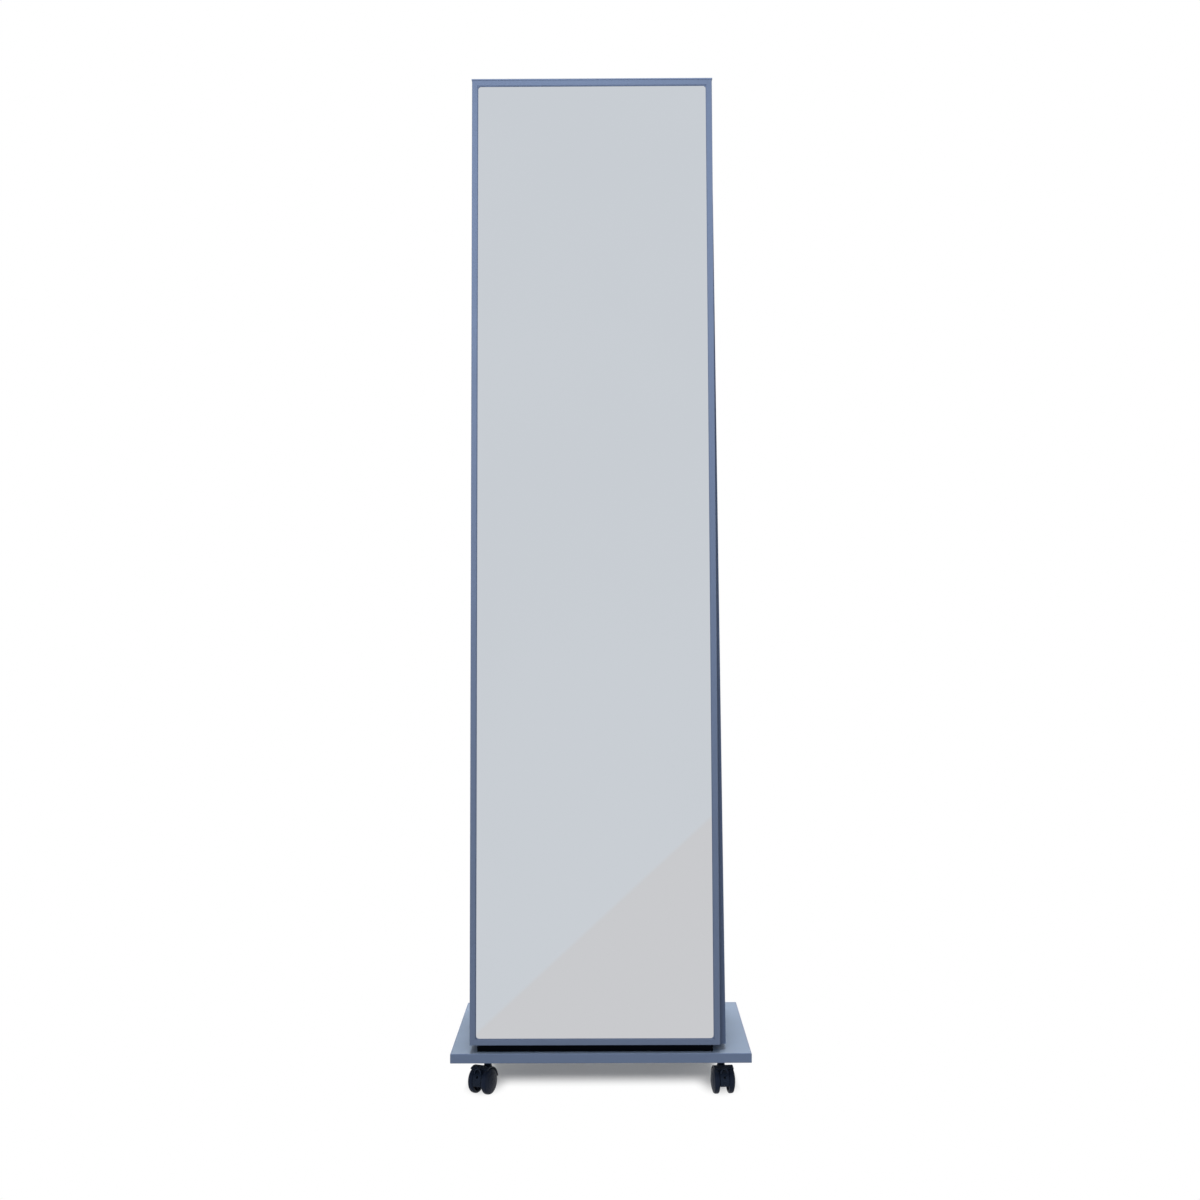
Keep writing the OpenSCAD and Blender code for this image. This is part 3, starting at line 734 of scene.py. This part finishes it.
def makeSealTree():
    # a flat lip with rounded edges, led round a rectangle with rounded corners
    tree, entry, leave = newTree("mirrorSeal", {
        "Lip Width": ("NodeSocketFloat", 0.008), "Lip Height": ("NodeSocketFloat", 0.0012),
        "Lip Rounding": ("NodeSocketFloat", 0.0005), "Corner Radius": ("NodeSocketFloat", 0.009),
        "Corner Steps": ("NodeSocketInt", 8), "Finish": ("NodeSocketMaterial", None)})
    link = tree.links.new
    size = entry.outputs
    path = addNode(tree, "GeometryNodeMeshToCurve", 2, 0)
    corners = addNode(tree, "GeometryNodeFilletCurve", 3, 0, mode="POLY")
    upright = addNode(tree, "GeometryNodeSetCurveNormal", 4, 0, mode="Z_UP")
    link(size["Geometry"], path.inputs["Mesh"])
    link(path.outputs["Curve"], corners.inputs["Curve"])
    link(size["Corner Radius"], corners.inputs["Radius"])
    link(size["Corner Steps"], corners.inputs["Count"])
    link(corners.outputs["Curve"], upright.inputs["Curve"])
    section = addNode(tree, "GeometryNodeCurvePrimitiveQuadrilateral", 2, 2)
    soft = addNode(tree, "GeometryNodeFilletCurve", 3, 2, mode="POLY")
    soft.inputs["Count"].default_value = seal["softSteps"]
    link(size["Lip Width"], section.inputs["Width"])
    link(size["Lip Height"], section.inputs["Height"])
    link(section.outputs["Curve"], soft.inputs["Curve"])
    link(size["Lip Rounding"], soft.inputs["Radius"])
    swept = addNode(tree, "GeometryNodeCurveToMesh", 6, 0)
    link(upright.outputs["Curve"], swept.inputs["Curve"])
    link(soft.outputs["Curve"], swept.inputs["Profile Curve"])
    endTree(tree, leave, swept.outputs["Mesh"], size["Finish"])
    return tree


sealTree = makeSealTree()


def panelFrame(side):
    # the panel's own axes: x across, y up its slope, z out of the glass; from the glass's corners
    corners = cornersOf(side + "_mirror")
    low = [point for point in corners if point.z < middleOf(corners).z]
    high = [point for point in corners if point.z > middleOf(corners).z]
    up = (middleOf(high) - middleOf(low)).normalized()
    out = Vector((0, -up.z, up.y)) if side == "front" else Vector((0, up.z, -up.y))
    across = up.cross(out)
    place = Matrix((across, up, out)).transposed().to_4x4()
    place.translation = middleOf(corners)
    return place


def makeSeal(side):
    place = panelFrame(side)
    inPanel = [place.inverted() @ point for point in cornersOf(side + "_gasket")]
    outerX, outerY = max(point.x for point in inPanel), max(point.y for point in inPanel)
    heights = [point.z for point in inPanel]
    innerX = max(abs(point.x) for point in inPanel if abs(point.x) < outerX - mm)
    innerY = max(abs(point.y) for point in inPanel if abs(point.y) < outerY - mm)
    level = (min(heights) + max(heights)) / 2
    midX, midY = (outerX + innerX) / 2, (outerY + innerY) / 2
    base = plainBase(side + "_seal", [(x * midX, y * midY, level) for x, y in rectangle],
                     [(0, 1), (1, 2), (2, 3), (3, 0)])
    width = outerX - innerX
    values = {"Lip Width": width, "Lip Height": max(heights) - min(heights) - seal["slack"] * mm,
              "Lip Rounding": seal["soft"] * mm, "Corner Radius": seal["corner"] * mm + width / 2,
              "Corner Steps": seal["steps"], "Finish": finishes["gasketRubber"]}
    piece = grow(side + "_seal", sealTree, base, values, place, seal["crease"])
    seat(piece, "stand", "gasket_rubber", side + "_gasket")


for side in panelSides:
    makeSeal(side)
print("seals:", len(panelSides))


# wheels

wheel = {
    # its section in mm, heights out from the wheel's inner side
    "boreRadius": 3.06, "boreDepth": 9.1, "boreChamfer": 0.4,
    "hubRadius": 6.0, "hubRound": 0.5, "hollowRound": 0.8,
    "rimWall": 4.0, "rimChamfer": 0.3, "faceWall": 5.5,
    "innerRound": 2.5, "outerRound": 5.0, "tread": 5.1,
    "domeRadius": 58.0,
    "rings": ((14.0, 0.7, 0.5), (5.2, 0.5, 0.35)),    # shallow rings: radius, half width, depth
    # how finely it is drawn: steps of its roundings, and mm between points on its face
    "roundSteps": 3, "innerSteps": 6, "outerSteps": 24, "segments": 72,
    "faceStart": 0.35, "faceStep": 0.9, "ringStep": 0.17, "ringMargin": 1.6, "faceEnd": 0.2,
    # ribs in its hollow side, in mm; they bite into hub, rim and face
    "ribs": 8, "ribThick": 1.3, "ribLow": 1.2, "ribBite": 0.3,
    "crease": 30,
}


def arc(centre, radius, start, end, steps):
    turns = [math.radians(start + (end - start) * i / steps) for i in range(steps + 1)]
    return [(centre[0] + radius * math.cos(t), centre[1] + radius * math.sin(t)) for t in turns]


def wheelSection(size, radius, width):
    # from the bottom of the bore, round the tread, to the middle of the outer face
    def dome(r):
        high = width - size["domeRadius"] + math.sqrt(size["domeRadius"] ** 2 - r * r)
        for ringAt, half, deep in size["rings"]:
            aside = abs(r - ringAt) / half
            if aside < 1:
                high -= deep * (0.5 + 0.5 * math.cos(math.pi * aside))
        return high

    floor = width - size["faceWall"]
    rim = radius - size["rimWall"]
    bore, chamfer = size["boreRadius"], size["boreChamfer"]
    hub, hubRound, hollow = size["hubRadius"], size["hubRound"], size["hollowRound"]
    inner, outer, steps = size["innerRound"], size["outerRound"], size["roundSteps"]
    points = [(0, size["boreDepth"]), (bore, size["boreDepth"]), (bore, chamfer), (bore + chamfer, 0)]
    points += arc((hub - hubRound, hubRound), hubRound, -90, 0, steps)
    points += arc((hub + hollow, floor - hollow), hollow, 180, 90, steps)
    points += arc((rim - hollow, floor - hollow), hollow, 90, 0, steps)
    points += [(rim, size["rimChamfer"]), (rim + size["rimChamfer"], 0)]
    points += arc((radius - inner, inner), inner, -90, 0, size["innerSteps"])
    corner = arc((radius - outer, size["tread"]), outer, 0, 90, size["outerSteps"])
    points += [point for point in corner if point[1] < dome(point[0])]
    r = points[-1][0] - size["faceStart"]
    while r > size["faceEnd"]:
        points.append((r, dome(r)))
        near = any(abs(r - ringAt) < size["ringMargin"] * half for ringAt, half, deep in size["rings"])
        r -= size["ringStep"] if near else size["faceStep"]
    points.append((0, dome(0)))
    return points


def makeWheelTree():
    # a section turned round the wheel's axis, with ribs in its hollow side
    tree, entry, leave = newTree("casterWheel", {
        "Pitch Radius": ("NodeSocketFloat", 0.011), "Segments": ("NodeSocketInt", 72),
        "Rib Count": ("NodeSocketInt", 8), "Rib Size": ("NodeSocketVector", (0.012, 0.001, 0.005)),
        "Rib Radius": ("NodeSocketFloat", 0.012), "Rib Height": ("NodeSocketFloat", 0.004),
        "Finish": ("NodeSocketMaterial", None)})
    link = tree.links.new
    size = entry.outputs
    section = addNode(tree, "GeometryNodeMeshToCurve", 2, 0)
    circle = addNode(tree, "GeometryNodeCurvePrimitiveCircle", 2, 1)
    upright = addNode(tree, "GeometryNodeSetCurveNormal", 3, 1, mode="Z_UP")
    turned = addNode(tree, "GeometryNodeCurveToMesh", 4, 0)
    link(size["Geometry"], section.inputs["Mesh"])
    link(size["Segments"], circle.inputs["Resolution"])
    link(size["Pitch Radius"], circle.inputs["Radius"])
    link(circle.outputs["Curve"], upright.inputs["Curve"])
    link(upright.outputs["Curve"], turned.inputs["Curve"])
    link(section.outputs["Curve"], turned.inputs["Profile Curve"])
    spots = addNode(tree, "GeometryNodeMeshCircle", 2, 3)
    rib = addNode(tree, "GeometryNodeMeshCube", 2, 4)
    lifted = addNode(tree, "GeometryNodeTransform", 3, 3)
    height = addNode(tree, "ShaderNodeCombineXYZ", 2, 5)
    link(size["Rib Count"], spots.inputs["Vertices"])
    link(size["Rib Radius"], spots.inputs["Radius"])
    link(size["Rib Size"], rib.inputs["Size"])
    link(size["Rib Height"], height.inputs["Z"])
    link(spots.outputs["Mesh"], lifted.inputs["Geometry"])
    link(height.outputs["Vector"], lifted.inputs["Translation"])
    spot = addNode(tree, "GeometryNodeInputPosition", 3, 5)
    flat = addNode(tree, "ShaderNodeVectorMath", 4, 5, operation="MULTIPLY")
    flat.inputs[1].default_value = (1.0, 1.0, 0.0)
    turn = addNode(tree, "FunctionNodeAlignRotationToVector", 5, 5, axis="X", pivot_axis="Z")
    link(spot.outputs["Position"], flat.inputs[0])
    link(flat.outputs["Vector"], turn.inputs["Vector"])
    ribs = addNode(tree, "GeometryNodeInstanceOnPoints", 6, 3)
    link(lifted.outputs["Geometry"], ribs.inputs["Points"])
    link(rib.outputs["Mesh"], ribs.inputs["Instance"])
    link(turn.outputs["Rotation"], ribs.inputs["Rotation"])
    both = addNode(tree, "GeometryNodeJoinGeometry", 8, 0)
    link(turned.outputs["Mesh"], both.inputs["Geometry"])
    link(ribs.outputs["Instances"], both.inputs["Geometry"])
    endTree(tree, leave, both.outputs["Geometry"], size["Finish"])
    return tree


wheelTree = makeWheelTree()


def makeWheel(corner, side):
    # its axis comes from the joint, its radius and width from the CAD wheel
    node = f"{corner}_{side}_wheel"
    body = f"{casterCorners[corner]}_{side}_wheel"
    joint = joints[body + "_spin"]
    middle = Vector(joint["pos_m"])
    outwards = Vector(joint["axis"]) * (-1 if side == "left" else 1)
    points = cornersOf(node)
    along = [(point - middle).dot(outwards) for point in points]
    radius = max((point - middle - outwards * far).length for point, far in zip(points, along)) / mm
    width = (max(along) - min(along)) / mm
    pitch = radius / 2
    section = [((r - pitch) * mm, -h * mm, 0) for r, h in reversed(wheelSection(wheel, radius, width))]
    base = plainBase(node, section, [(i, i + 1) for i in range(len(section) - 1)])
    bite = wheel["ribBite"]
    ribFrom, ribTo = wheel["hubRadius"] - bite, radius - wheel["rimWall"] + bite
    ribTop = width - wheel["faceWall"] + bite
    values = {
        "Pitch Radius": pitch * mm, "Segments": wheel["segments"], "Rib Count": wheel["ribs"],
        "Rib Size": ((ribTo - ribFrom) * mm, wheel["ribThick"] * mm, (ribTop - wheel["ribLow"]) * mm),
        "Rib Radius": (ribFrom + ribTo) / 2 * mm, "Rib Height": (ribTop + wheel["ribLow"]) / 2 * mm,
        "Finish": finishes["wheelNylon"],
    }
    place = outwards.to_track_quat("Z", "Y").to_matrix().to_4x4()
    place.translation = middle + outwards * min(along)
    piece = grow(node + "_moulded", wheelTree, base, values, place, wheel["crease"])
    seat(piece, body, "wheel_plastic", node)


for corner in casterCorners:
    for side in ("left", "right"):
        makeWheel(corner, side)
print("wheels:", 2 * len(casterCorners))


# stage: floor, world, lamps

stage = {
    "floorSize": 60.0,
    "floorTone": (0.9, 0.88, 0.84, 1.0),    # what the light under the base falls on
    "floorPaintedGlow": 0.14,                     # painted glow added to it, lightening its real shade
    "bounce": 0.25,                        # how much light the open floor gives back
    # places in metres; a pair is where a shade is full and where it is gone
    "shadeMiddle": 0.0015,
    "shadeWidth": (0.186, 0.212),
    "shadeFront": (-0.02, -0.125),
    "shadeBack": (0.16, 0.24),
    "casterAside": 0.2,                    # the casters' own shades: how far out their middles are,
    "casterDepths": (-0.08, 0.12),         # how far back, and how far they reach aside and ahead
    "casterReach": (0.046, 0.115),
    "casterOuter": (0.205, 0.235),
    "worldLevel": 0.36,                    # light that the room gives the object
}


def softShade(tree, column, row, across, along):
    # 0 inside, 1 outside, rounded where the two directions meet
    corner = addNode(tree, "ShaderNodeCombineXYZ", column, row)
    far = addNode(tree, "ShaderNodeVectorMath", column + 1, row, operation="LENGTH")
    edge = ramp(tree, column + 2, row, 0.0, 1.0)
    tree.links.new(across, corner.inputs["X"])
    tree.links.new(along, corner.inputs["Y"])
    tree.links.new(corner.outputs["Vector"], far.inputs[0])
    tree.links.new(far.outputs["Value"], edge.inputs["Value"])
    return edge.outputs["Result"]


def floorShade(tree, size):
    # the soft shade under the base and the casters, as in the photograph
    # the shadow's outline is painted: inside it the floor shows its real shading, outside it the floor is
    # plain white
    where = addNode(tree, "ShaderNodeTexCoord", 0, 3)
    split = addNode(tree, "ShaderNodeSeparateXYZ", 1, 3)
    tree.links.new(where.outputs["Object"], split.inputs["Vector"])
    offMiddle = calc(tree, 2, 2, "SUBTRACT", split.outputs["X"], size["shadeMiddle"])
    away = calc(tree, 3, 2, "ABSOLUTE", offMiddle, 0.0)
    parts = {}
    for row, (name, source) in enumerate((("shadeWidth", away), ("shadeFront", split.outputs["Y"]),
                                          ("shadeBack", split.outputs["Y"]), ("casterOuter", away))):
        parts[name] = ramp(tree, 4, 3 + row, *size[name])
        parts[name].interpolation_type = "LINEAR"
        tree.links.new(source, parts[name].inputs["Value"])
        parts[name] = parts[name].outputs["Result"]
    along = calc(tree, 5, 3, "MAXIMUM", parts["shadeFront"], parts["shadeBack"])
    clear = softShade(tree, 6, 3, parts["shadeWidth"], along)
    reachX, reachY = size["casterReach"]
    aside = calc(tree, 5, 7, "DIVIDE", calc(tree, 4, 7, "SUBTRACT", away, size["casterAside"]), reachX)
    for row, depth in enumerate(size["casterDepths"]):
        ahead = calc(tree, 4, 8 + row, "SUBTRACT", split.outputs["Y"], depth)
        spot = softShade(tree, 6, 8 + row, aside, calc(tree, 5, 8 + row, "DIVIDE", ahead, reachY))
        clear = calc(tree, 9, 8 + row, "MULTIPLY", clear,
                     calc(tree, 8, 8 + row, "MAXIMUM", spot, parts["casterOuter"]))
    return clear


def mirroredRays(tree, column, row, ray):
    # 1 for the rays by which metal, the mirrors and glass see their surroundings
    glossy, through = ray.outputs["Is Glossy Ray"], ray.outputs["Is Transmission Ray"]
    return calc(tree, column, row, "MAXIMUM", glossy, through)


def makeFloor(size):
    mesh = bpy.data.meshes.new("studioFloor")
    half = size["floorSize"] / 2
    mesh.from_pydata([(x * half, y * half, 0) for x, y in rectangle], [], [(0, 1, 2, 3)])
    floor = bpy.data.objects.new("studioFloor", mesh)
    bpy.context.scene.collection.objects.link(floor)
    material = bpy.data.materials.new("studioFloor")
    material.use_nodes = True
    tree = material.node_tree
    tree.nodes.clear()
    link = tree.links.new
    ray = addNode(tree, "ShaderNodeLightPath", 8, 0)
    shaded = addNode(tree, "ShaderNodeBsdfDiffuse", 9, 0)
    shaded.inputs["Color"].default_value = size["floorTone"]
    # a painted glow that lightens the floor's real shade
    paintedGlow = addNode(tree, "ShaderNodeEmission", 9, 1)
    paintedGlow.inputs["Strength"].default_value = size["floorPaintedGlow"]
    lit = addNode(tree, "ShaderNodeAddShader", 10, 0)
    link(shaded.outputs[0], lit.inputs[0])
    link(paintedGlow.outputs[0], lit.inputs[1])
    bright = addNode(tree, "ShaderNodeEmission", 10, 1)
    seen = addNode(tree, "ShaderNodeMixShader", 11, 0)
    link(floorShade(tree, size), seen.inputs[0])
    link(lit.outputs[0], seen.inputs[1])
    link(bright.outputs[0], seen.inputs[2])
    dull = addNode(tree, "ShaderNodeBsdfDiffuse", 11, 2)
    dull.inputs["Color"].default_value = (size["bounce"],) * 3 + (1.0,)
    forEye = addNode(tree, "ShaderNodeMixShader", 12, 1)
    link(ray.outputs["Is Camera Ray"], forEye.inputs[0])
    link(dull.outputs[0], forEye.inputs[1])
    link(seen.outputs[0], forEye.inputs[2])
    inGlass = addNode(tree, "ShaderNodeMixShader", 13, 1)
    link(mirroredRays(tree, 12, 3, ray), inGlass.inputs[0])
    link(forEye.outputs[0], inGlass.inputs[1])
    link(bright.outputs[0], inGlass.inputs[2])
    out = addNode(tree, "ShaderNodeOutputMaterial", 14, 1)
    link(inGlass.outputs[0], out.inputs["Surface"])
    mesh.materials.append(material)


def makeWorld(size):
    world = bpy.data.worlds.new("studio")
    bpy.context.scene.world = world
    world.use_nodes = True
    tree = world.node_tree
    tree.nodes.clear()
    link = tree.links.new
    ray = addNode(tree, "ShaderNodeLightPath", 0, 0)
    mirrored = mirroredRays(tree, 1, 0, ray)
    room = addNode(tree, "ShaderNodeBackground", 2, 1)
    bright = addNode(tree, "ShaderNodeBackground", 2, 2)
    setInputs(room, Color=white, Strength=size["worldLevel"])
    setInputs(bright, Color=white)
    pick = addNode(tree, "ShaderNodeMixShader", 3, 0)
    out = addNode(tree, "ShaderNodeOutputWorld", 4, 0)
    link(calc(tree, 2, 0, "MAXIMUM", ray.outputs["Is Camera Ray"], mirrored), pick.inputs[0])
    link(room.outputs[0], pick.inputs[1])
    link(bright.outputs[0], pick.inputs[2])
    link(pick.outputs[0], out.inputs["Surface"])


lamps = {
    # a high light from a little behind, even ones from the front and the back, and a nearer box
    # that makes the top of the frame brighter than its foot
    "highSun": {"kind": "SUN", "power": 2.5, "angle": 14.0,
                "from": (0.0, 0.14, 1.0), "at": (0, 0, 0)},
    "frontSun": {"kind": "SUN", "power": 0.9, "angle": 40.0,
                 "from": (-0.4, -1.0, 0.1), "at": (0, 0, 0)},
    "rearSun": {"kind": "SUN", "power": 0.8, "angle": 40.0,
                "from": (0.6, 1.0, 0.1), "at": (0, 0, 0)},
    "frontBox": {"kind": "AREA", "power": 9.1, "size": 0.5,
                 "from": (-0.1, -1.15, 1.62), "at": (0, 0, 1.66)},
}


def makeLamp(name, lamp):
    data = bpy.data.lights.new(name, lamp["kind"])
    data.energy = lamp["power"]
    if lamp["kind"] == "SUN":
        data.angle = math.radians(lamp["angle"])
    else:
        data.shape = "DISK"
        data.size = lamp["size"]
    light = bpy.data.objects.new(name, data)
    bpy.context.scene.collection.objects.link(light)
    light.location = lamp["from"]
    aim = Vector(lamp["at"]) - Vector(lamp["from"])
    light.rotation_euler = aim.to_track_quat("-Z", "Y").to_euler()
    light.visible_camera = False
    light.visible_glossy = False      # the glass would show it


makeFloor(stage)
makeWorld(stage)
for name, lamp in lamps.items():
    makeLamp(name, lamp)
bpy.context.scene.view_settings.view_transform = "Standard"
print("stage set")
